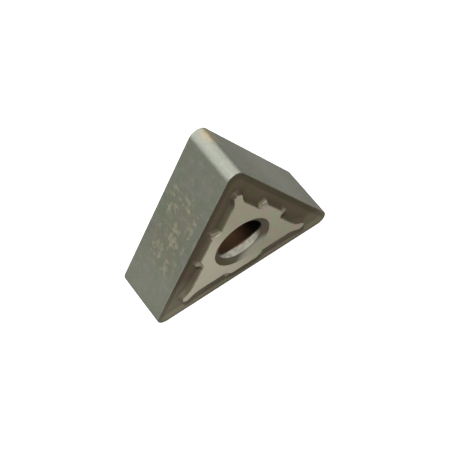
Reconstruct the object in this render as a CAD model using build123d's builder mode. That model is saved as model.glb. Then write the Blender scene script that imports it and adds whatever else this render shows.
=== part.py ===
"""Triangular indexable turning insert: one sintered piece of cemented carbide, double-sided, with
straight flanks, rounded noses, a pressed chip breaker on both faces and a plain central bore.

Lengths are in millimetres and angles in degrees. The insert stands on one flank. +Z is up, the bore
runs along Y, the front face looks along -Y, and the origin is the middle of the flank it stands on.
"""

import os
from math import cos, hypot, radians, tan

from build123d import *

SIDES = 3
CORNER_ANGLE = 180 - 360 / SIDES

# Outline, seen along the bore
inscribed_circle = 9.525
nose_radius = 0.8

# Thickness: the nominal one runs from a cutting edge to the seating face on the other side
nominal_thickness = 4.76
plateau_rise = 0.185
edge_hone = 0.04

# Chip groove: the flat land behind the cutting edge, then the rake slope, then the floor
land_width = 0.2
groove_depth = 0.2
rake_angle = 28
groove_radius = 0.2

# Plateau, the ground seating face: a triangle with three arms that point at the noses
triangle_inset = 1.88
wall_draft = 28
wall_foot_radius = 0.1
arm_width = 0.68
arm_side = 0.74
arm_root_radius = 1.9

# Bump in the middle of each side of the triangle, with a lower ear at both of its ends
bump_width = 2.3
bump_flank_width = 0.53
bump_corner_radius = 0.15
ear_drop = 0.12
ear_clearance = 0.36
ear_lead = 0.26
ear_step = 0.12
ear_flank_width = 0.2
ear_tip_radius = 0.08

# Bore, countersunk at both mouths
bore_diameter = 3.81
mouth_diameter = 4.78
mouth_angle = 120

# Sizes that follow from those above
inscribed_radius = inscribed_circle / 2
edge_to_edge = nominal_thickness - plateau_rise
wall_height = plateau_rise + groove_depth
floor_reach = inscribed_radius - land_width - groove_depth / tan(radians(rake_angle))
triangle_reach = inscribed_radius - triangle_inset

ear_foot_reach = floor_reach - ear_clearance
ear_height = ear_foot_reach - (wall_height - ear_drop) * tan(radians(wall_draft)) - triangle_reach
bump_height = ear_height - ear_lead
bump_foot = bump_width / 2 + bump_flank_width
ear_foot = bump_foot + ear_step
ear_tip = ear_foot - ear_flank_width

mid_plane = Plane(origin=(0, 0, inscribed_radius), x_dir=(1, 0, 0), z_dir=(0, -1, 0))
edge_plane = mid_plane.offset(edge_to_edge / 2)
plateau_plane = edge_plane.offset(plateau_rise)
ear_plane = plateau_plane.offset(-ear_drop)

corner_reach = triangle_reach / cos(radians(180 / SIDES))
arm_root_reach = corner_reach - arm_width / 2 / tan(radians(CORNER_ANGLE / 2))
arm_tip_reach = arm_root_reach + arm_side
nose_directions = PolarLocations(0, SIDES, start_angle=90)
side_middles = PolarLocations(triangle_reach, SIDES, start_angle=-90)


def triangle(reach, corner_radius=0):
    """Return a triangle that stands on one side, its sides this far from the bore's axis."""
    with BuildSketch() as outline:
        RegularPolygon(reach, SIDES, major_radius=False, rotation=90)
        if corner_radius:
            fillet(outline.vertices(), radius=corner_radius)
    return outline.sketch


def bump(half_outline, crest_radius):
    """Return a bump that stands out along X, from the corners of one half, with rounded crests."""
    other_half = [(x, -y) for x, y in reversed(half_outline)]
    with BuildSketch() as outline:
        Polygon(*half_outline, *other_half, align=None)
        crests = outline.vertices().group_by(Axis.X)[-1]
        fillet(crests, radius=crest_radius)
    return outline.sketch


def plateau_outline():
    """Return the seating face: the triangle with its arms and bumps."""
    flank_bump = bump([(0, bump_foot), (bump_height, bump_width / 2)], bump_corner_radius)
    with BuildSketch() as outline:
        add(triangle(triangle_reach))
        with nose_directions:
            SlotCenterPoint((arm_tip_reach / 2, 0), (arm_tip_reach, 0), arm_width)
        arm_roots = outline.vertices().group_by(lambda corner: hypot(corner.X, corner.Y))[0]
        fillet(arm_roots, radius=arm_root_radius)
        with side_middles:
            add(flank_bump)
    return outline.sketch


def ears_outline():
    """Return the lower step that the bumps stand on: the triangle with a pair of ears on each side."""
    eared_bump = bump(
        [(0, ear_foot), (ear_height, ear_tip), (bump_height, bump_width / 2)], ear_tip_radius
    )
    with BuildSketch() as outline:
        add(triangle(triangle_reach))
        with side_middles:
            add(eared_bump)
    return outline.sketch


def side_walls(prism):
    """Return the faces of a straight prism that stand square to its ends."""
    return prism.faces().filter_by(lambda face: abs(face.normal_at().Y) < 0.5)


rim = triangle(inscribed_radius, nose_radius)
groove_edge = triangle(inscribed_radius - land_width, nose_radius - land_width)
seating_face = plateau_outline()
ear_shelf = ears_outline()

# The hollow that the press leaves inside the land, with the rake slope all round
with BuildPart() as groove:
    with BuildSketch(edge_plane):
        add(groove_edge)
    extrude(amount=-groove_depth)
    draft(side_walls(groove), edge_plane, rake_angle - 90)

# The plateau and its ears, which stand on the floor of that hollow
with BuildPart() as plateau:
    with BuildSketch(plateau_plane):
        add(seating_face)
    extrude(amount=-wall_height)
    draft(side_walls(plateau), plateau_plane, wall_draft)

with BuildPart() as ears:
    with BuildSketch(ear_plane):
        add(ear_shelf)
    extrude(amount=ear_drop - wall_height)
    draft(side_walls(ears), ear_plane, wall_draft)

# The front half of the insert, from its mid plane to the plateau, mirrored to make the whole
with BuildPart() as carbide_insert:
    with BuildSketch(mid_plane):
        add(rim)
    extrude(amount=edge_to_edge / 2)
    cutting_edge = carbide_insert.faces().sort_by(Axis.Y)[0].edges()
    fillet(cutting_edge, radius=edge_hone)

    add(groove.part, mode=Mode.SUBTRACT)
    land, floor, middle = carbide_insert.faces().filter_by(Plane.XZ).sort_by(Axis.Y)
    fillet(floor.edges(), radius=groove_radius)

    add(plateau.part)
    add(ears.part)
    land, floor, middle = carbide_insert.faces().filter_by(Plane.XZ).sort_by(Axis.Y)[-3:]
    fillet(floor.inner_wires().edges(), radius=wall_foot_radius)

    with Locations(plateau_plane):
        CounterSinkHole(bore_diameter / 2, mouth_diameter / 2, counter_sink_angle=mouth_angle)
    mirror(about=mid_plane)

carbide_insert.part.label = "carbide_insert"
os.makedirs("parts", exist_ok=True)
export_step(carbide_insert.part, "parts/carbide_insert.step")
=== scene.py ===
"""Looks of a triangular carbide turning insert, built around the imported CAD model.

One piece of mesh stands for the CAD solid, with the same sizes. It is worked out in millimetres and
made in metres. Seen from the front, u runs right and v up, and both start at the bore's axis.
"""

from math import acos, cos, pi, radians, sin, sqrt, tan

import bmesh
import bpy
import numpy as np
from mathutils import Matrix, Vector, noise
from mathutils.geometry import delaunay_2d_cdt


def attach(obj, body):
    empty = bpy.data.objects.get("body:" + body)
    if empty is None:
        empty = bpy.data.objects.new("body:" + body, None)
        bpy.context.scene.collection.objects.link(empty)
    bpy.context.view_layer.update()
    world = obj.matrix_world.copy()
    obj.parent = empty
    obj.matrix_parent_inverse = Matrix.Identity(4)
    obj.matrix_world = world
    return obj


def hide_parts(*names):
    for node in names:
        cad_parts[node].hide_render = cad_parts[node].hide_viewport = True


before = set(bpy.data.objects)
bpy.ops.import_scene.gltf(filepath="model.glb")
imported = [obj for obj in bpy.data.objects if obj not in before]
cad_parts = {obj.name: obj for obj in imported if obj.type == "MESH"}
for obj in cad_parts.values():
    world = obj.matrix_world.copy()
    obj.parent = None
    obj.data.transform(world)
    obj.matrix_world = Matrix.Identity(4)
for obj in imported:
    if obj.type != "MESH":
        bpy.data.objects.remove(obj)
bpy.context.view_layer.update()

MM = 0.001
SIDES = 3
SIDE_TURN = 360 / SIDES

# The insert's sizes in millimetres and degrees, the same as the CAD solid's
INSCRIBED_CIRCLE = 9.525
NOSE_RADIUS = 0.8
NOMINAL_THICKNESS = 4.76
PLATEAU_RISE = 0.185
EDGE_HONE = 0.04
LAND_WIDTH = 0.2
GROOVE_DEPTH = 0.2
RAKE_ANGLE = 28
GROOVE_RADIUS = 0.2
TRIANGLE_INSET = 1.88
WALL_DRAFT = 28
WALL_FOOT_RADIUS = 0.1
ARM_WIDTH = 0.68
ARM_SIDE = 0.74
ARM_ROOT_RADIUS = 1.9
BUMP_WIDTH = 2.3
BUMP_FLANK_WIDTH = 0.53
BUMP_CORNER_RADIUS = 0.15
EAR_DROP = 0.12
EAR_CLEARANCE = 0.36
EAR_LEAD = 0.26
EAR_STEP = 0.12
EAR_FLANK_WIDTH = 0.2
EAR_TIP_RADIUS = 0.08
BORE_DIAMETER = 3.81
MOUTH_DIAMETER = 4.78
MOUTH_ANGLE = 120

# Half thicknesses, from the mid plane
EDGE_HALF = (NOMINAL_THICKNESS - PLATEAU_RISE) / 2
PLATEAU_HALF = EDGE_HALF + PLATEAU_RISE
FLOOR_HALF = EDGE_HALF - GROOVE_DEPTH
EAR_HALF = PLATEAU_HALF - EAR_DROP

# Slopes, and how far each fillet reaches along the groove's floor from the corner that it rounds
DRAFT_SLOPE = tan(radians(WALL_DRAFT))
RAKE_SLOPE = tan(radians(RAKE_ANGLE))
GROOVE_REACH = GROOVE_RADIUS * tan(radians(RAKE_ANGLE) / 2)
FOOT_REACH = WALL_FOOT_RADIUS * tan(radians(90 - WALL_DRAFT) / 2)

# How far inside the flanks the rake slope would meet the floor, and where it bends into its fillet
FLOOR_INSET = LAND_WIDTH + GROOVE_DEPTH / RAKE_SLOPE
GROOVE_BEND = FLOOR_INSET - GROOVE_REACH * cos(radians(RAKE_ANGLE))

# Reaches from the bore's axis, half widths and radii
INSCRIBED_RADIUS = INSCRIBED_CIRCLE / 2
NOSE_CENTRE_REACH = 2 * (INSCRIBED_RADIUS - NOSE_RADIUS)
TRIANGLE_REACH = INSCRIBED_RADIUS - TRIANGLE_INSET
ARM_HALF_WIDTH = ARM_WIDTH / 2
EAR_REACH = INSCRIBED_RADIUS - FLOOR_INSET - EAR_CLEARANCE - (EAR_HALF - FLOOR_HALF) * DRAFT_SLOPE
BUMP_REACH = EAR_REACH - EAR_LEAD
BUMP_HALF_WIDTH = BUMP_WIDTH / 2
BUMP_FOOT = BUMP_HALF_WIDTH + BUMP_FLANK_WIDTH
EAR_FOOT = BUMP_FOOT + EAR_STEP
EAR_TIP = EAR_FOOT - EAR_FLANK_WIDTH
BORE_RADIUS = BORE_DIAMETER / 2
MOUTH_RADIUS = MOUTH_DIAMETER / 2
SINK_SLOPE = tan(radians(MOUTH_ANGLE / 2))
SINK_BOTTOM = PLATEAU_HALF - (MOUTH_RADIUS - BORE_RADIUS) / SINK_SLOPE

# Zones of the surface, in the order of the materials
FLANK, MARKED, GROOVE, GROUND, SINK, BORE = range(6)

# Steps of the mesh round its curves and down its walls
NOSE_STEPS = 24
SIDE_STEPS = 44
CIRCLE_STEPS = 120
CORNER_STEPS = 8
ARM_TIP_STEPS = 12
HONE_STEPS = 6
SLOPE_STEPS = 2
FLOOR_FILLET_STEPS = 4
WALL_STEPS = 2
WALL_FIRST_SHARE = 0.35
WALL_FOOT_STEPS = 6
FLANK_STEPS = 10
SINK_STEPS = 5
BORE_STEPS = 16

# Spacing of the mesh in millimetres: guard loops lie close beside a bend and keep its shading crisp
GUARD = 0.02
FLANK_GUARDS = (0.03, 0.09)
FLANK_MARGIN = 0.3
EDGE_BAND = 0.08
LOOP_SPACING = 0.09
FILL_SPACING = 0.3
FILL_CLEARANCE = 0.14
FILL_REACH = 9

# Tolerances in millimetres, and the angle in degrees from which an edge is shaded sharp
TOUCHING = 1e-4
SAME_POINT = 1e-5
SAME_CORNER = 2e-4
SHARP_ANGLE = 20

# How far the pressed skin departs from its ideal shape, and over what width that fades, in millimetres
WAVER = 0.018
SKIN_WAVE = 0.006
SKIN_GRAIN = 0.002
SKIN_FADE = 0.1

# Its ripples in a millimetre, and its seed on each face
WAVER_COARSE = 1.7
WAVER_FINE = 5
SKIN_COARSE = 1.1
SKIN_FINE = 4.3
FRONT_SEED = 3
BACK_SEED = 11

# Worn bands and painted shade: their widths in millimetres, and how strong the painted shade is at the
# wall's foot and along the land
WORN_CREST = 0.05
# The band along the hones is partly wear and partly a painted edge highlight
FLANK_WEAR_AND_GLINT = 0.1
WORN_SHELF = 0.06
SHELF_SHADE_GAP = 0.1
WALL_SHADE_WIDTH = 0.3
LAND_SHADE_WIDTH = 0.08
WALL_SHADE_STRENGTH = 1.2
LAND_SHADE_STRENGTH = 0.8

# Colours of the flanks' coating
COAT_OLIVE = (0.080, 0.097, 0.066)
COAT_GREY = (0.095, 0.097, 0.082)
COAT_WARM = (0.116, 0.097, 0.079)
COAT_DARK = (0.062, 0.064, 0.052)
# Paler, cooler noses: polish, and partly a painted highlight
COAT_POLISH_AND_SHEEN = (0.117, 0.122, 0.102)
COAT_TAN = (0.185, 0.140, 0.084)
COAT_RUBBED = (0.155, 0.156, 0.126)
COAT_ETCHED = (0.088, 0.087, 0.058)
ETCH = (0.185, 0.162, 0.120)
EDGE_WEAR_AND_GLINT = (0.40, 0.40, 0.33)

# Colours of the pressed groove, the countersink, the ground seating face and the bore
GROOVE_OLIVE = (0.064, 0.062, 0.034)
GROOVE_BROWN = (0.077, 0.056, 0.042)
GROOVE_DARK = (0.039, 0.033, 0.023)
GROOVE_PALE = (0.135, 0.126, 0.092)
SHELF_PALE = (0.185, 0.168, 0.130)
SINK_OLIVE = (0.050, 0.048, 0.032)
SINK_BROWN = (0.056, 0.045, 0.034)
# The countersink's painted light and painted shade
SINK_LIT = (0.145, 0.142, 0.110)
SINK_SHADE = (0.040, 0.038, 0.015)
GROUND_WARM = (0.236, 0.188, 0.155)
GROUND_GREEN = (0.202, 0.218, 0.144)
GROUND_DARK = (0.156, 0.141, 0.104)
GROUND_PALE = (0.390, 0.368, 0.290)
# The bore's painted light, and its painted shade from brown to black
BORE_LIT = (0.235, 0.232, 0.190)
BORE_RUBBED = (0.120, 0.112, 0.088)
BORE_SHADE_BROWN = (0.082, 0.046, 0.025)
BORE_SHADOW_BLACK = (0.004, 0.003, 0.003)

# The ranges of a noise pattern over which a look changes: its middle third, and a little more
NOISE_MIDDLE = (0.35, 0.65)
NOISE_WIDE = (0.3, 0.7)

# Places in millimetres from the frame's origin
BORE_CENTRE = (0, 0, INSCRIBED_RADIUS)
BORE_BOTTOM = (0, 0, INSCRIBED_RADIUS - BORE_RADIUS)
TOP_CORNER = (0, 0, 3 * INSCRIBED_RADIUS)
TAN_PLACE = (0.66, 1.5, 13.05)
PALER_RIGHT_PLACE = (4.5, 0.5, 6.4)
PALER_LEFT_PLACE = (-6.5, 0, 2.2)
PALE_GROOVE = (-6.6, 0, 1)

# Directions in the frame, in which a look changes
RIGHT = (1, 0, 0)
THROUGH = (0, 1, 0)
UP = (0, 0, 1)
DOWN_LEFT_FLANK = (-0.5, 0, -sqrt(0.75))
TO_PALE_GROUND = (-0.9, 0, -0.44)
TO_BORE_SHADE = (1, 0, 0.4)
# Towards the countersink's painted light and painted shade
TO_LIT_LIP = (0.42, 0, -0.91)
TO_SHADED_LIP = (-0.87, 0, -0.5)

# Distances between which a look changes, in millimetres from its place or along its direction
NOSE_POLISH_AND_SHEEN = (8.3, 8.5)
TAN_REACH = (0.3, 1.1)
WARM_SIDE = (0.6, 1.6)
PALER_REACH = (1.5, 4.5)
PALE_CORNER_REACH = (2.8, 4.2)
PALE_FOOT = (1.4, 2.4)
SHADE_FADE_LOW = (1.4, 4)
PALE_GROUND = (-1, 2.5)
# Where the bore's painted shade darkens, and how deep its painted light reaches
BORE_SHADE_SIDE = (-0.9, 1.4)
SHADED_BORE = (0.8, 1.8)
BORE_SHADOW_DEPTH = (0.6, 0.75)
# Where the countersink's painted light and painted shade come in
LIT_LIP = (1.6, 2.2)
SHADED_LIP = (1.7, 2.3)

# The etched patch fades in and out between these distances in millimetres: down the left flank from
# where the flanks would meet, and to both sides from the middle of the thickness
PATCH_START = (4.4, 5.0)
PATCH_END = (11.4, 12.2)
PATCH_SIDE = (1.4, 1.8)

# Its strokes are broken rings round the middles of a random grid's cells, sized in cells
CELLS_PER_MM = 1.05
RING_RADIUS = 0.3
RING_WOBBLE = 1.1
RING_WIDTH = (0.04, 0.28)

# The marks of the grinding wheel
GRINDING_ANGLE = 24
GRINDING_STRETCH = 0.12

# Camera, in millimetres, degrees and pixels
CAMERA_AZIMUTH = -29.61
CAMERA_ELEVATION = 59.435
CAMERA_ROLL = 6.049
CAMERA_AIM = (0, 0, 5)
CAMERA_DISTANCE = 93.7
CAMERA_ACROSS = 0.105
CAMERA_RISE = -0.620
FOCAL_PIXELS = 1290.27
PICTURE_PIXELS = 450
SENSOR_WIDTH = 36

# Lights and floor, in metres and watts, and in degrees above the horizon
LIGHT_AIM = (0, 0, 0.01)
KEY_FROM = (-0.17, -0.215, 0.96)
KEY_DISTANCE = 0.45
KEY_SIZE = (0.012, 0.012)
KEY_POWER = 3.2
SOFTBOX_PLACE = (0, 0.36, 0.40)
SOFTBOX_SIZE = (2.2, 0.62)
SOFTBOX_POWER = 20.5
SKY_TINT = (0.98, 0.99, 1, 1)
SKY_STRENGTH = 0.33
SKY_ABOVE = 20
HORIZON_STRENGTH = 1.04
HORIZON_BELOW = 5
FLOOR_REACH = 6
FLOOR_DROP = 1e-5
FLOOR_COLOUR = (0.23, 0.23, 0.23)
FLOOR_GLOW = 0.83


def unit(degrees):
    """Return the unit vector at this angle from u."""
    return np.array([cos(radians(degrees)), sin(radians(degrees))])


def rim_loop(inset):
    """Return the rounded triangle that lies this far inside the flanks, as a closed loop."""
    radius = NOSE_RADIUS - inset
    half_turn = SIDE_TURN / 2
    points = []
    for side in range(SIDES):
        facing = 90 + side * SIDE_TURN
        centre = NOSE_CENTRE_REACH * unit(facing)
        next_centre = NOSE_CENTRE_REACH * unit(facing + SIDE_TURN)
        for angle in np.linspace(facing - half_turn, facing + half_turn, NOSE_STEPS + 1):
            points.append(centre + radius * unit(angle))
        start = points[-1]
        end = next_centre + radius * unit(facing + half_turn)
        for share in np.linspace(0, 1, SIDE_STEPS + 1)[1:-1]:
            points.append(start + share * (end - start))
    return np.array(points)


def circle_loop(radius):
    """Return a circle round the bore's axis."""
    angles = np.linspace(0, 360, CIRCLE_STEPS, endpoint=False)
    return np.array([radius * unit(angle) for angle in angles])


def round_corner(before, corner, after, radius):
    """Return the points of the arc that rounds the corner between two straight runs."""
    to_start = (before - corner) / np.linalg.norm(before - corner)
    to_end = (after - corner) / np.linalg.norm(after - corner)
    half = acos(float(to_start @ to_end)) / 2
    middle = (to_start + to_end) / np.linalg.norm(to_start + to_end)
    centre = corner + middle * radius / sin(half)
    first = corner + to_start * radius / tan(half) - centre
    last = corner + to_end * radius / tan(half) - centre
    turn = pi - 2 * half
    return [
        centre + (sin((1 - share) * turn) * first + sin(share * turn) * last) / sin(turn)
        for share in np.linspace(0, 1, CORNER_STEPS + 1)
    ]


def run_of(corners, radii):
    """Return a chain through these corners, each rounded where it has a radius."""
    corners = [np.array(corner, float) for corner in corners]
    points = [corners[0]]
    for index in range(1, len(corners) - 1):
        if radii[index]:
            points += round_corner(*corners[index - 1:index + 2], radii[index])
        else:
            points.append(corners[index])
    return points + [corners[-1]]


def divided(loop):
    """Return a closed loop with its long straight runs cut into equal steps."""
    cut = [loop[0]]
    for start, end in zip(loop, loop[1:] + loop[:1]):
        steps = max(1, round(float(np.linalg.norm(end - start)) / LOOP_SPACING))
        cut += [start + (end - start) * step / steps for step in range(1, steps + 1)]
    return np.array(cut[:-1])


def turned(points, facing):
    """Return points given as (out from the side, along it) in u and v, for the side that faces so."""
    points = np.array(points)
    return points[:, :1] * unit(facing) + points[:, 1:] * unit(facing + 90)


def all_round(half):
    """Return a closed loop from the half of one side, mirrored and repeated on every side."""
    other = [point * (1, -1) for point in reversed(half[1:])]
    points = []
    for side in range(SIDES):
        points += list(turned(other[1:] + half, side * SIDE_TURN - 90))
    return divided(points)


def plateau_loop():
    """Return the crest of the plateau: a triangle with bumped sides and an arm towards each nose."""
    towards_nose = SIDE_TURN / 2
    arm = unit(towards_nose)
    beside = unit(towards_nose - 90)
    root = (TRIANGLE_REACH - ARM_HALF_WIDTH * beside[0]) / arm[0]
    end_centre = (root + ARM_SIDE) * arm
    half = run_of(
        [
            (BUMP_REACH, 0),
            (BUMP_REACH, BUMP_HALF_WIDTH),
            (TRIANGLE_REACH, BUMP_FOOT),
            root * arm + ARM_HALF_WIDTH * beside,
            end_centre + ARM_HALF_WIDTH * beside,
        ],
        [0, BUMP_CORNER_RADIUS, 0, ARM_ROOT_RADIUS, 0],
    )
    for angle in np.linspace(towards_nose - 90, towards_nose, ARM_TIP_STEPS + 1)[1:]:
        half.append(end_centre + ARM_HALF_WIDTH * unit(angle))
    return all_round(half)


def ear_loop():
    """Return the crest of the lower step: the triangle with a pair of ears on each side."""
    half = run_of(
        [
            (BUMP_REACH, 0),
            (BUMP_REACH, BUMP_HALF_WIDTH),
            (EAR_REACH, EAR_TIP),
            (TRIANGLE_REACH, EAR_FOOT),
            (TRIANGLE_REACH, TRIANGLE_REACH * tan(radians(SIDE_TURN / 2))),
        ],
        [0, 0, EAR_TIP_RADIUS, 0, 0],
    )
    return all_round(half)


def moved_out(loop, distance):
    """Return a closed loop moved outwards by this distance, with mitred corners."""
    ahead = np.roll(loop, -1, axis=0) - loop
    ahead /= np.linalg.norm(ahead, axis=1)[:, None]
    normals = np.stack([ahead[:, 1], -ahead[:, 0]], axis=1)
    before = np.roll(normals, 1, axis=0)
    middle = normals + before
    middle /= (middle * normals).sum(axis=1)[:, None]
    return loop + distance * middle


def distance_to(points, loop):
    """Return how far each point is from a closed loop, below zero inside it."""
    ends = np.roll(loop, -1, axis=0)
    away = np.full(len(points), np.inf)
    inside = np.zeros(len(points), bool)
    for start, end in zip(loop, ends):
        along = end - start
        share = np.clip(((points - start) @ along) / (along @ along), 0, 1)
        away = np.minimum(away, np.hypot(*(points - start - share[:, None] * along).T))
        crosses = (start[1] > points[:, 1]) != (end[1] > points[:, 1])
        if crosses.any():
            at = start[0] + (points[:, 1] - start[1]) / (along[1] or 1e-12) * along[0]
            inside ^= crosses & (points[:, 0] < at)
    return np.where(inside, -away, away)


def fillet_height(to_end, radius):
    """Return the height of a fillet above the floor, this far before its end on that floor."""
    across = np.clip(to_end, 0, radius)
    return radius - np.sqrt(np.clip(radius ** 2 - across ** 2, 0, None))


def wall_height(distance, crest_half):
    """Return the half thickness beside a drafted wall that stands on the groove's floor."""
    rise = crest_half - FLOOR_HALF
    foot = rise * DRAFT_SLOPE
    to_end = foot + FOOT_REACH - distance
    shade_at_wall = distance < foot - FOOT_REACH * sin(radians(WALL_DRAFT))
    height = np.where(shade_at_wall, rise - distance / DRAFT_SLOPE, fillet_height(to_end, WALL_FOOT_RADIUS))
    height = np.where(distance < 0, rise, height)
    return FLOOR_HALF + np.where(to_end < 0, 0, height)


def groove_height(inset):
    """Return the half thickness of the land, the rake slope and the groove's floor."""
    to_end = FLOOR_INSET + GROOVE_REACH - inset
    slope = GROOVE_DEPTH - (inset - LAND_WIDTH) * RAKE_SLOPE
    height = np.where(inset < GROOVE_BEND, slope, fillet_height(to_end, GROOVE_RADIUS))
    height = np.where(to_end < 0, 0, height)
    return FLOOR_HALF + np.minimum(height, GROOVE_DEPTH)


def spaced(low, high, steps):
    """Return values from low to high, both included."""
    return [float(value) for value in np.linspace(low, high, steps + 1)]


def ripple(point, per_mm, seed):
    """Return a smooth random number for a point, from -1 to 1, that depends on the seed."""
    u, v = point
    return noise.noise(Vector((u * per_mm, v * per_mm, seed)))


def ragged(loop, seed):
    """Return a closed loop whose line wavers by a few hundredths, as a pressed edge does."""
    outward = moved_out(loop, 1) - loop
    waver = np.array([
        ripple(point, WAVER_COARSE, seed) + 0.5 * ripple(point, WAVER_FINE, seed) for point in loop
    ])
    return loop + WAVER * waver[:, None] * outward


def unevenness(points, seed):
    """Return how far the pressed skin stands above or below its ideal shape at each point."""
    return np.array([
        SKIN_WAVE * ripple(point, SKIN_COARSE, seed) + SKIN_GRAIN * ripple(point, SKIN_FINE, seed + 5)
        for point in points
    ])


def groove_loops():
    """Return the loops across the land, down the rake slope and on to the groove's floor."""
    land = [EDGE_HONE, EDGE_HONE + GUARD, (EDGE_HONE + LAND_WIDTH) / 2]
    land += [LAND_WIDTH - GUARD, LAND_WIDTH, LAND_WIDTH + GUARD]
    slope = spaced(LAND_WIDTH + LOOP_SPACING, GROOVE_BEND - GUARD, SLOPE_STEPS)
    fillet = spaced(GROOVE_BEND, FLOOR_INSET + GROOVE_REACH, FLOOR_FILLET_STEPS)
    floor = [FLOOR_INSET + GROOVE_REACH + GUARD]
    return [rim_loop(inset) for inset in land + slope + fillet + floor]


def wall_loops(crest, crest_half):
    """Return the loops down a drafted wall, from its crest to the groove's floor."""
    foot = (crest_half - FLOOR_HALF) * DRAFT_SLOPE
    bend = foot - FOOT_REACH * sin(radians(WALL_DRAFT))
    distances = [0] + spaced(WALL_FIRST_SHARE * bend, bend, WALL_STEPS)
    distances += spaced(bend, foot + FOOT_REACH, WALL_FOOT_STEPS)[1:]
    distances += [foot + FOOT_REACH + GUARD]
    return [moved_out(crest, distance) for distance in distances]


def fill_points(loops):
    """Return the points of a triangular grid on the face that are clear of all its loops."""
    rows = np.arange(-FILL_REACH, FILL_REACH, FILL_SPACING * sqrt(3) / 2)
    columns = np.arange(-FILL_REACH, FILL_REACH, FILL_SPACING)
    grid = np.array([
        (u + (row % 2) * FILL_SPACING / 2, v) for row, v in enumerate(rows) for u in columns
    ])
    grid = grid[(distance_to(grid, rim_loop(EDGE_HONE)) < 0) & (np.hypot(*grid.T) > MOUTH_RADIUS)]
    taken = np.concatenate(loops)
    clear = np.array([np.hypot(*(taken - point).T).min() > FILL_CLEARANCE for point in grid])
    return grid[clear]


def triangulated(loops):
    """Return the (u, v) points and the triangles of a face, with every loop's steps as edges."""
    points, edges = [], []
    for loop in loops:
        first = len(points)
        points += list(loop)
        edges += [(first + index, first + (index + 1) % len(loop)) for index in range(len(loop))]
    points += list(fill_points(loops))
    made = delaunay_2d_cdt([Vector(point) for point in points], edges, [], 0, SAME_POINT)
    flat = np.array([tuple(point) for point in made[0]])
    triangles = np.array([face for face in made[2]])
    centres = flat[triangles].mean(axis=1)
    kept = distance_to(centres, rim_loop(EDGE_HONE)) < -TOUCHING
    kept &= distance_to(centres, circle_loop(MOUTH_RADIUS)) > TOUCHING
    return flat, triangles[kept]


def near(distance, reach):
    """Return 1 at an edge, falling to 0 this far from it."""
    return np.clip(1 - np.abs(distance) / reach, 0, 1)


def face_half(flat, inset, outside, to_ears, seed):
    """Return the half thickness of each point of a face: the highest of groove, plateau and ears."""
    ideal = groove_height(inset)
    skin = ideal + unevenness(flat, seed) * np.clip((inset - LAND_WIDTH) / SKIN_FADE, 0, 1)
    wall = wall_height(outside, PLATEAU_HALF) + (skin - ideal) * np.clip(outside / SKIN_FADE, 0, 1)
    return np.maximum(np.maximum(skin, wall), wall_height(to_ears, EAR_HALF))


def wear_and_shade_of_face(flat, inset, outside, to_ears):
    """Return the wear and painted shade of each point: above zero where a crest is rubbed pale, below it
    for painted shade in the crease at the wall's foot and along the land.
    """
    to_mouth = np.hypot(*flat.T) - MOUTH_RADIUS
    on_crest = np.maximum(near(outside, WORN_CREST), near(to_mouth, WORN_CREST))
    on_shelf = np.clip(1 - to_ears / WORN_SHELF, 0, 1)
    # Painted shade: darker in the crease at the wall's foot, away from the ear shelves, and along the
    # land
    shade_at_wall = np.clip(WALL_SHADE_STRENGTH - outside / WALL_SHADE_WIDTH, 0, 1) * np.clip(to_ears / SHELF_SHADE_GAP - 1, 0, 1)
    shade_at_land = LAND_SHADE_STRENGTH * np.clip((LAND_WIDTH + LAND_SHADE_WIDTH - inset) / LAND_SHADE_WIDTH, 0, 1)
    in_groove = np.where(to_ears < WORN_SHELF, on_shelf, -np.maximum(shade_at_wall, shade_at_land))
    return np.where(outside > 0, in_groove, on_crest)


def face_mesh(seed):
    """Return one face inside the hone: its (u, v, half thickness) points, triangles, wear and zones."""
    plateau = ragged(plateau_loop(), seed)
    ears = ragged(ear_loop(), seed)
    loops = groove_loops() + [moved_out(plateau, -EDGE_BAND), moved_out(plateau, -GUARD)]
    loops += wall_loops(plateau, PLATEAU_HALF) + wall_loops(ears, EAR_HALF)
    loops += [circle_loop(MOUTH_RADIUS + beside) for beside in (0, GUARD, EDGE_BAND)]
    flat, triangles = triangulated(loops)

    inset = -distance_to(flat, rim_loop(0))
    outside = distance_to(flat, plateau)
    to_ears = distance_to(flat, ears)
    half = face_half(flat, inset, outside, to_ears, seed)
    wear_and_shade = wear_and_shade_of_face(flat, inset, outside, to_ears)
    centres = flat[triangles].mean(axis=1)
    zones = np.where(distance_to(centres, plateau) < 0, GROUND, GROOVE)
    return np.column_stack([flat, half]), triangles, wear_and_shade, zones


def lifted(loop, half):
    """Return a loop of points at this half thickness."""
    return np.column_stack([loop, np.full(len(loop), half)])


def strip(rings):
    """Return the points, the quads and the quads' centres between rings, one after another."""
    count = len(rings[0])
    quads = []
    for row in range(len(rings) - 1):
        for index in range(count):
            ahead = (index + 1) % count
            quads.append((
                row * count + index, row * count + ahead,
                (row + 1) * count + ahead, (row + 1) * count + index,
            ))
    points = np.concatenate(rings)
    return points, quads, points[np.array(quads)].mean(axis=1)


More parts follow.
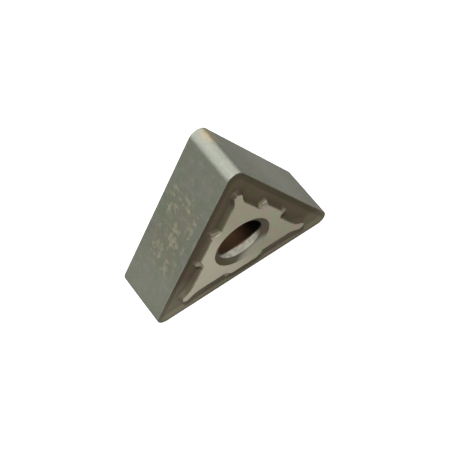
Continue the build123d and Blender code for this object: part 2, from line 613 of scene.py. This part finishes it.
def flank_band():
    """Return the hones and the flanks, from front to back: points, quads, wear and zones."""
    hone = []
    for angle in np.linspace(0, 90, HONE_STEPS + 1):
        inset = EDGE_HONE * (1 - sin(radians(angle)))
        hone.append(lifted(rim_loop(inset), EDGE_HALF - EDGE_HONE * (1 - cos(radians(angle)))))
    straight = EDGE_HALF - EDGE_HONE
    guards = [straight - guard for guard in FLANK_GUARDS]
    levels = guards + spaced(straight - FLANK_MARGIN, FLANK_MARGIN - straight, FLANK_STEPS)
    levels += [-guard for guard in reversed(guards)]
    rings = hone + [lifted(rim_loop(0), level) for level in levels]
    rings += [ring * (1, 1, -1) for ring in reversed(hone)]
    points, quads, centres = strip(rings)
    wear_and_shade = near(EDGE_HALF - EDGE_HONE / 2 - np.abs(points[:, 2]), FLANK_WEAR_AND_GLINT)
    on_left = centres[:, :2] @ unit(90 + SIDE_TURN / 2) > INSCRIBED_RADIUS - TOUCHING
    return points, quads, wear_and_shade, np.where(on_left, MARKED, FLANK)


def bore_band():
    """Return the countersinks and the bore, from front to back: points, quads, wear and zones."""
    sink = []
    for radius in spaced(MOUTH_RADIUS, BORE_RADIUS, SINK_STEPS):
        sink.append(lifted(circle_loop(radius), PLATEAU_HALF - (MOUTH_RADIUS - radius) / SINK_SLOPE))
    levels = spaced(SINK_BOTTOM, -SINK_BOTTOM, BORE_STEPS)[1:-1]
    rings = sink + [lifted(circle_loop(BORE_RADIUS), level) for level in levels]
    rings += [ring * (1, 1, -1) for ring in reversed(sink)]
    points, quads, centres = strip(rings)
    wear_and_shade = near(PLATEAU_HALF - np.abs(points[:, 2]), WORN_CREST)
    return points, quads, wear_and_shade, np.where(np.abs(centres[:, 2]) > SINK_BOTTOM, SINK, BORE)


def add_faces(shell, points, faces, wear_and_shade, zones, flipped=False):
    """Add faces between (u, v, thickness towards the front) points in millimetres, made in metres."""
    wear_layer = shell.verts.layers.float["wear_and_shade"]
    verts = []
    for (u, v, w), worn in zip(points, wear_and_shade):
        vert = shell.verts.new((u * MM, -w * MM, (v + INSCRIBED_RADIUS) * MM))
        vert[wear_layer] = worn
        verts.append(vert)
    for face, zone in zip(faces, zones):
        corners = [verts[index] for index in face]
        made = shell.faces.new(corners[::-1] if flipped else corners)
        made.material_index = int(zone)


def insert_mesh():
    """Return the whole insert as one closed mesh, in metres."""
    shell = bmesh.new()
    shell.verts.layers.float.new("wear_and_shade")
    for seed, facing in ((FRONT_SEED, 1), (BACK_SEED, -1)):
        points, triangles, wear_and_shade, zones = face_mesh(seed)
        add_faces(shell, points * (1, 1, facing), triangles, wear_and_shade, zones, flipped=facing < 0)
    add_faces(shell, *flank_band(), flipped=True)
    add_faces(shell, *bore_band())
    bmesh.ops.remove_doubles(shell, verts=shell.verts, dist=SAME_CORNER * MM)
    bmesh.ops.recalc_face_normals(shell, faces=shell.faces)
    mesh = bpy.data.meshes.new("insert_body")
    shell.to_mesh(mesh)
    shell.free()
    mesh.shade_smooth()
    mesh.set_sharp_from_angle(angle=radians(SHARP_ANGLE))
    return mesh


class Paint:
    """A material, with short calls for the nodes that feed its shader."""

    def __init__(self, name, metallic, specular=0.5, tint=1.0):
        self.material = bpy.data.materials.new(name)
        self.material.use_nodes = True
        self.tree = self.material.node_tree
        self.shader = self.tree.nodes["Principled BSDF"]
        self.feed(self.shader.inputs["Metallic"], metallic)
        self.feed(self.shader.inputs["Specular IOR Level"], specular)
        self.feed(self.shader.inputs["Specular Tint"], (tint, tint, tint))
        coordinates = self.tree.nodes.new("ShaderNodeTexCoord")
        in_mm = self.vector("SCALE", coordinates.outputs["Object"])
        self.feed(in_mm.inputs["Scale"], 1 / MM)
        self.place = in_mm.outputs["Vector"]

    def feed(self, socket, value):
        """Set a socket to a number, a colour or another socket."""
        if isinstance(value, bpy.types.NodeSocket):
            self.tree.links.new(value, socket)
        elif isinstance(value, tuple) and socket.type == "RGBA":
            socket.default_value = (*value, 1)
        else:
            socket.default_value = value

    def vector(self, operation, *values):
        """Add a node that works on vectors."""
        node = self.tree.nodes.new("ShaderNodeVectorMath")
        node.operation = operation
        for socket, value in zip(node.inputs, values):
            self.feed(socket, value)
        return node

    def math(self, operation, first, second=0.0):
        """Return one number worked out from two."""
        node = self.tree.nodes.new("ShaderNodeMath")
        node.operation = operation
        self.feed(node.inputs[0], first)
        self.feed(node.inputs[1], second)
        return node.outputs[0]

    def times(self, first, second):
        """Return the product of two numbers."""
        return self.math("MULTIPLY", first, second)

    def along(self, direction, start=(0, 0, 0)):
        """Return how far, in millimetres, a point lies along a direction from a start."""
        away = self.vector("SUBTRACT", self.place, start)
        return self.vector("DOT_PRODUCT", away.outputs["Vector"], direction).outputs["Value"]

    def distance(self, start):
        """Return how far, in millimetres, a point lies from another."""
        return self.vector("DISTANCE", self.place, start).outputs["Value"]

    def from_axis(self):
        """Return how far, in millimetres, a point lies from the bore's axis."""
        across = self.along(RIGHT)
        up = self.along(UP, BORE_CENTRE)
        return self.math("SQRT", self.math("ADD", self.times(across, across), self.times(up, up)))

    def together(self, x, y):
        """Return a flat vector made of two numbers."""
        node = self.tree.nodes.new("ShaderNodeCombineXYZ")
        self.feed(node.inputs["X"], x)
        self.feed(node.inputs["Y"], y)
        return node.outputs["Vector"]

    def noise(self, per_mm, detail=2.0, place=None, shift=0.0, rough=0.5):
        """Return a smooth random pattern from 0 to 1, with this many features to a millimetre."""
        node = self.tree.nodes.new("ShaderNodeTexNoise")
        node.noise_dimensions = "4D"
        self.feed(node.inputs["Vector"], place or self.place)
        self.feed(node.inputs["W"], shift)
        self.feed(node.inputs["Scale"], per_mm)
        self.feed(node.inputs["Detail"], detail)
        self.feed(node.inputs["Roughness"], rough)
        return node.outputs["Fac"]

    def cells(self, per_mm, place, uneven=0.7):
        """Return how far, in cells, a point lies from the middle of its cell in a flat random grid."""
        node = self.tree.nodes.new("ShaderNodeTexVoronoi")
        node.voronoi_dimensions = "2D"
        self.feed(node.inputs["Vector"], place)
        self.feed(node.inputs["Scale"], per_mm)
        self.feed(node.inputs["Randomness"], uneven)
        return node.outputs["Distance"]

    def ramp(self, value, low, high, to_low=0.0, to_high=1.0):
        """Return a value brought smoothly from one range to another, and held at its ends."""
        node = self.tree.nodes.new("ShaderNodeMapRange")
        node.interpolation_type = "SMOOTHSTEP"
        self.feed(node.inputs["Value"], value)
        self.feed(node.inputs["From Min"], low)
        self.feed(node.inputs["From Max"], high)
        self.feed(node.inputs["To Min"], to_low)
        self.feed(node.inputs["To Max"], to_high)
        return node.outputs["Result"]

    def mix(self, share, first, second):
        """Return a colour between two."""
        node = self.tree.nodes.new("ShaderNodeMix")
        node.data_type = "RGBA"
        self.feed(node.inputs["Factor"], share)
        self.feed(node.inputs[6], first)
        self.feed(node.inputs[7], second)
        return node.outputs[2]

    def change(self, first, second, value, low, high, most=1.0):
        """Return a colour that turns into a second one as a value rises, by this share at most."""
        return self.mix(self.ramp(value, low, high, 0, most), first, second)

    def fade(self, first, second, value, low, high, most):
        """Return a colour that starts with this share of a second one, and loses it as a value rises."""
        return self.mix(self.ramp(value, low, high, most, 0), first, second)

    def wear_and_shade(self):
        """Return the mesh's wear and painted shade: up to 1 where it is rubbed pale, and below zero where
        shade is painted.
        """
        node = self.tree.nodes.new("ShaderNodeAttribute")
        node.attribute_name = "wear_and_shade"
        return node.outputs["Fac"]

    def bumps(self, height, size_mm):
        """Raise the surface by this pattern times this size."""
        node = self.tree.nodes.new("ShaderNodeBump")
        self.feed(node.inputs["Height"], height)
        self.feed(node.inputs["Distance"], size_mm * MM)
        self.feed(self.shader.inputs["Normal"], node.outputs["Normal"])

    def finish(self, colour, roughness):
        """Set the colour and roughness, and return the material."""
        self.feed(self.shader.inputs["Base Color"], colour)
        self.feed(self.shader.inputs["Roughness"], roughness)
        return self.material


def flank_coating(name, marked=False):
    """Return the grey-olive coating of the flanks, with the etched patch on one of them."""
    paint = Paint(name, metallic=0.85, specular=0, tint=0.35)
    paint.feed(paint.shader.inputs["Coat Weight"], 0.08)
    paint.feed(paint.shader.inputs["Coat Roughness"], 0.4)
    grain = paint.noise(6.5, detail=4, rough=0.75)
    colour = paint.change(COAT_OLIVE, COAT_GREY, paint.noise(0.9, detail=3), *NOISE_MIDDLE)
    colour = paint.change(colour, COAT_WARM, paint.noise(2.6, detail=3, shift=4), 0.42, 0.68, most=0.5)
    colour = paint.change(colour, COAT_RUBBED, paint.noise(1.7, detail=4, shift=17), 0.46, 0.7, most=0.22)
    # Paler, cooler noses: partly polish, partly a painted brightening of their highlight
    colour = paint.change(colour, COAT_POLISH_AND_SHEEN, paint.from_axis(), *NOSE_POLISH_AND_SHEEN)
    colour = paint.change(colour, COAT_TAN, paint.along(RIGHT), *WARM_SIDE, most=0.12)
    # Paler round a place in the middle of the right flank and one low on the left flank
    colour = paint.fade(colour, COAT_RUBBED, paint.distance(PALER_RIGHT_PLACE), *PALER_REACH, most=0.33)
    colour = paint.fade(colour, COAT_RUBBED, paint.distance(PALER_LEFT_PLACE), *PALER_REACH, most=0.3)
    colour = paint.change(colour, COAT_DARK, grain, *NOISE_MIDDLE, most=0.35)
    tint = paint.ramp(paint.noise(2.2, detail=2, shift=9), 0.35, 0.6, 0.3, 0.9)
    tint = paint.times(tint, paint.ramp(paint.distance(TAN_PLACE), *TAN_REACH, 1, 0))
    colour = paint.mix(tint, colour, COAT_TAN)
    # Pale edge along the hones: partly wear, partly a painted edge highlight
    worn = paint.times(paint.wear_and_shade(), paint.ramp(paint.noise(5, detail=3, shift=2), *NOISE_MIDDLE, 0.2, 1))
    colour = paint.mix(paint.times(worn, 0.1), colour, EDGE_WEAR_AND_GLINT)
    height = paint.math("ADD", grain, paint.times(paint.noise(4, detail=2, shift=6), 1.5))
    rough = paint.ramp(paint.noise(3, detail=3, shift=7), *NOISE_WIDE, 0.38, 0.45)
    if marked:
        patch, etched = etched_strokes(paint)
        colour = paint.mix(paint.times(patch, 0.35), colour, COAT_ETCHED)
        colour = paint.mix(paint.times(etched, 0.58), colour, ETCH)
        height = paint.math("SUBTRACT", height, paint.times(etched, 3))
        rough = paint.math("ADD", rough, paint.times(etched, 0.15))
    paint.bumps(height, size_mm=0.006)
    return paint.finish(colour, rough)


def etched_strokes(paint):
    """Return the etched patch of the left flank and its soft broken strokes, which form no letters."""
    down = paint.along(DOWN_LEFT_FLANK, TOP_CORNER)
    across = paint.along(THROUGH)
    patch = paint.times(paint.ramp(down, *PATCH_START), paint.ramp(down, *PATCH_END, 1, 0))
    patch = paint.times(patch, paint.ramp(paint.math("ABSOLUTE", across), *PATCH_SIDE, 1, 0))
    wobble = paint.times(paint.math("SUBTRACT", paint.noise(1.8, detail=2, shift=15), 0.5), RING_WOBBLE)
    from_middle = paint.math("ADD", paint.cells(CELLS_PER_MM, paint.together(down, across)), wobble)
    off_ring = paint.math("ABSOLUTE", paint.math("SUBTRACT", from_middle, RING_RADIUS))
    rings = paint.ramp(off_ring, *RING_WIDTH, 1, 0)
    broken = paint.ramp(paint.noise(2.4, detail=1, shift=12), 0.42, 0.60)
    rubbed = paint.ramp(paint.noise(0.7, detail=2, shift=21), 0.38, 0.55, 0.3, 1)
    strokes = paint.times(paint.times(rings, broken), rubbed)
    return patch, paint.times(strokes, patch)


def groove_coating():
    """Return the dark brownish skin of the pressed groove, with its pale shelves and its painted shade in
    the crease at the wall's foot and along the land.
    """
    paint = Paint("pressed_groove", metallic=0.3, specular=0, tint=0.3)
    up = paint.along(UP)
    grain = paint.noise(12, detail=3, rough=0.7, shift=3)
    colour = paint.change(GROOVE_OLIVE, GROOVE_BROWN, paint.noise(1.1, detail=3, shift=1), *NOISE_MIDDLE)
    colour = paint.change(colour, GROOVE_DARK, grain, *NOISE_WIDE, most=0.35)
    colour = paint.fade(colour, GROOVE_PALE, paint.distance(PALE_GROOVE), *PALE_CORNER_REACH, most=0.45)
    colour = paint.fade(colour, GROOVE_PALE, up, *PALE_FOOT, most=0.3)
    # Painted shade in the crease at the wall's foot and along the land, fainter low on the insert
    painted_shade = paint.math("MAXIMUM", paint.times(paint.wear_and_shade(), -0.75), 0)
    painted_shade = paint.times(painted_shade, paint.ramp(up, *SHADE_FADE_LOW, 0.2, 1))
    colour = paint.mix(painted_shade, colour, GROOVE_DARK)
    worn = paint.math("MAXIMUM", paint.wear_and_shade(), 0)
    worn = paint.times(worn, paint.ramp(paint.noise(4, detail=3, shift=2), *NOISE_MIDDLE, 0.55, 0.9))
    colour = paint.mix(worn, colour, SHELF_PALE)
    paint.bumps(paint.math("ADD", grain, paint.noise(3.5, detail=2, shift=6)), size_mm=0.009)
    return paint.finish(colour, paint.ramp(paint.noise(3, detail=2, shift=8), *NOISE_WIDE, 0.45, 0.6))


def ground_carbide():
    """Return the pale seating face, with the fine parallel marks of the grinding wheel."""
    paint = Paint("ground_carbide", metallic=0.85, specular=0, tint=0.5)
    level = cos(radians(GRINDING_ANGLE))
    steep = sin(radians(GRINDING_ANGLE))
    lengthways = paint.times(paint.along((level, 0, steep)), GRINDING_STRETCH)
    stretched = paint.together(lengthways, paint.along((-steep, 0, level)))
    marks = paint.noise(9, detail=4, place=stretched, rough=0.75)
    to_pale = paint.along(TO_PALE_GROUND, BORE_CENTRE)
    colour = paint.change(GROUND_WARM, GROUND_GREEN, paint.noise(1.2, detail=4, shift=5), 0.38, 0.62)
    colour = paint.change(colour, GROUND_DARK, marks, 0.35, 0.7, most=0.4)
    colour = paint.change(colour, GROUND_PALE, to_pale, *PALE_GROUND, most=0.45)
    nibbled = paint.times(paint.wear_and_shade(), paint.ramp(paint.noise(7, detail=3, shift=2), 0.5, 0.62))
    colour = paint.mix(paint.times(nibbled, 0.7), colour, GROOVE_OLIVE)
    paint.bumps(marks, size_mm=0.004)
    return paint.finish(colour, paint.ramp(marks, *NOISE_WIDE, 0.34, 0.46))


def countersink():
    """Return the pressed cone at each mouth of the bore, with painted light on its lower right and
    painted shade on its lower left.
    """
    paint = Paint("countersink", metallic=0.2, specular=0)
    grain = paint.noise(12, detail=3, rough=0.7, shift=3)
    to_lit = paint.along(TO_LIT_LIP, BORE_CENTRE)
    to_shaded = paint.along(TO_SHADED_LIP, BORE_CENTRE)
    colour = paint.change(SINK_OLIVE, SINK_BROWN, paint.noise(1.3, detail=3, shift=1), *NOISE_MIDDLE)
    # Painted light towards the lower right of the lip, and painted shade towards its lower left
    colour = paint.change(colour, SINK_LIT, to_lit, *LIT_LIP)
    colour = paint.change(colour, SINK_SHADE, to_shaded, *SHADED_LIP, most=0.7)
    paint.bumps(grain, size_mm=0.007)
    return paint.finish(colour, paint.ramp(grain, *NOISE_WIDE, 0.5, 0.6))


def bore_skin():
    """Return the wall of the bore: painted light near its mouths, low on the wall, and painted shade,
    brown to black, deeper in, higher up and towards the right.
    """
    paint = Paint("bore_skin", metallic=0.15, specular=0)
    grain = paint.noise(10, detail=3, rough=0.7, shift=3)
    # Painted light low on the wall near the mouths; painted shade deeper in, higher up and towards the
    # right
    to_shade = paint.along(TO_BORE_SHADE, BORE_CENTRE)
    depth = paint.math("SUBTRACT", SINK_BOTTOM, paint.math("ABSOLUTE", paint.along(THROUGH)))
    shadow_depth = paint.math("ADD", depth, paint.times(paint.along(UP, BORE_BOTTOM), 0.25))
    shadow_depth = paint.math("ADD", shadow_depth, paint.times(paint.noise(1.5, detail=2, shift=3), 0.2))
    shade = paint.change(BORE_SHADE_BROWN, BORE_SHADOW_BLACK, to_shade, *BORE_SHADE_SIDE)
    painted_lit = paint.change(BORE_LIT, BORE_RUBBED, paint.noise(2.4, detail=3, shift=11), 0.4, 0.62, most=0.6)
    painted_lit = paint.change(painted_lit, SINK_OLIVE, to_shade, *SHADED_BORE)
    colour = paint.change(painted_lit, shade, shadow_depth, *BORE_SHADOW_DEPTH)
    paint.bumps(grain, size_mm=0.008)
    return paint.finish(colour, paint.ramp(grain, *NOISE_WIDE, 0.45, 0.6))


def make_body():
    """Make the one piece of the insert and hang it on the frame."""
    body = bpy.data.objects.new("insert_body", insert_mesh())
    bpy.context.collection.objects.link(body)
    materials = {
        FLANK: flank_coating("coated_flank"),
        MARKED: flank_coating("etched_flank", marked=True),
        GROOVE: groove_coating(),
        GROUND: ground_carbide(),
        SINK: countersink(),
        BORE: bore_skin(),
    }
    for zone in sorted(materials):
        body.data.materials.append(materials[zone])
    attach(body, "root")
    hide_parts("carbide_insert")


def make_camera():
    """Put the camera above and to the left of the front face, and roll it a little."""
    azimuth = radians(CAMERA_AZIMUTH)
    elevation = radians(CAMERA_ELEVATION)
    roll = radians(CAMERA_ROLL)
    back = Vector((sin(azimuth) * cos(elevation), -cos(azimuth) * cos(elevation), sin(elevation)))
    level_right = Vector((cos(azimuth), sin(azimuth), 0))
    level_up = back.cross(level_right)
    right = cos(roll) * level_right - sin(roll) * level_up
    up = sin(roll) * level_right + cos(roll) * level_up
    aside = level_right * CAMERA_ACROSS + level_up * CAMERA_RISE
    place = (Vector(CAMERA_AIM) + aside + back * CAMERA_DISTANCE) * MM
    data = bpy.data.cameras.new("camera")
    data.sensor_width = SENSOR_WIDTH
    data.lens = FOCAL_PIXELS / PICTURE_PIXELS * SENSOR_WIDTH
    data.clip_start = 0.005
    data.clip_end = 10
    camera = bpy.data.objects.new("camera", data)
    bpy.context.collection.objects.link(camera)
    camera.matrix_world = Matrix((
        (right.x, up.x, back.x, place.x),
        (right.y, up.y, back.y, place.y),
        (right.z, up.z, back.z, place.z),
        (0, 0, 0, 1),
    ))
    bpy.context.scene.camera = camera


def soft_light(name, place, size, power):
    """Add a soft rectangular light, this wide and deep in metres, that faces the insert."""
    data = bpy.data.lights.new(name, "AREA")
    data.shape = "RECTANGLE"
    data.size, data.size_y = size
    data.energy = power
    light = bpy.data.objects.new(name, data)
    bpy.context.collection.objects.link(light)
    light.location = place
    light.rotation_mode = "QUATERNION"
    light.rotation_quaternion = (Vector(LIGHT_AIM) - Vector(place)).to_track_quat("-Z", "Y")


def make_floor():
    """Add the white floor, which glows a little, just under the insert."""
    ends = (-FLOOR_REACH, FLOOR_REACH)
    corners = [(x, y, -FLOOR_DROP) for x in ends for y in ends]
    mesh = bpy.data.meshes.new("floor")
    mesh.from_pydata(corners, [], [(0, 2, 3, 1)])
    floor = bpy.data.objects.new("floor", mesh)
    bpy.context.collection.objects.link(floor)
    paper = Paint("paper", metallic=0)
    paper.feed(paper.shader.inputs["Emission Color"], (1.0, 1.0, 1.0))
    paper.feed(paper.shader.inputs["Emission Strength"], FLOOR_GLOW)
    mesh.materials.append(paper.finish(FLOOR_COLOUR, 0.9))


def make_world():
    """Light the surroundings, which are brighter at the horizon than overhead."""
    world = bpy.data.worlds.new("studio")
    bpy.context.scene.world = world
    world.use_nodes = True
    nodes = world.node_tree.nodes
    links = world.node_tree.links
    sky = nodes["Background"]
    sky.inputs["Color"].default_value = SKY_TINT
    direction = nodes.new("ShaderNodeTexCoord")
    split = nodes.new("ShaderNodeSeparateXYZ")
    links.new(direction.outputs["Generated"], split.inputs[0])
    strength = nodes.new("ShaderNodeMapRange")
    strength.inputs["From Min"].default_value = sin(radians(HORIZON_BELOW))
    strength.inputs["From Max"].default_value = sin(radians(SKY_ABOVE))
    strength.inputs["To Min"].default_value = HORIZON_STRENGTH
    strength.inputs["To Max"].default_value = SKY_STRENGTH
    links.new(split.outputs["Z"], strength.inputs["Value"])
    links.new(strength.outputs["Result"], sky.inputs["Strength"])


make_body()
make_camera()
make_floor()
soft_light("key", Vector(KEY_FROM) * KEY_DISTANCE, KEY_SIZE, KEY_POWER)
soft_light("softbox", SOFTBOX_PLACE, SOFTBOX_SIZE, SOFTBOX_POWER)
make_world()
bpy.context.scene.view_settings.view_transform = "Standard"
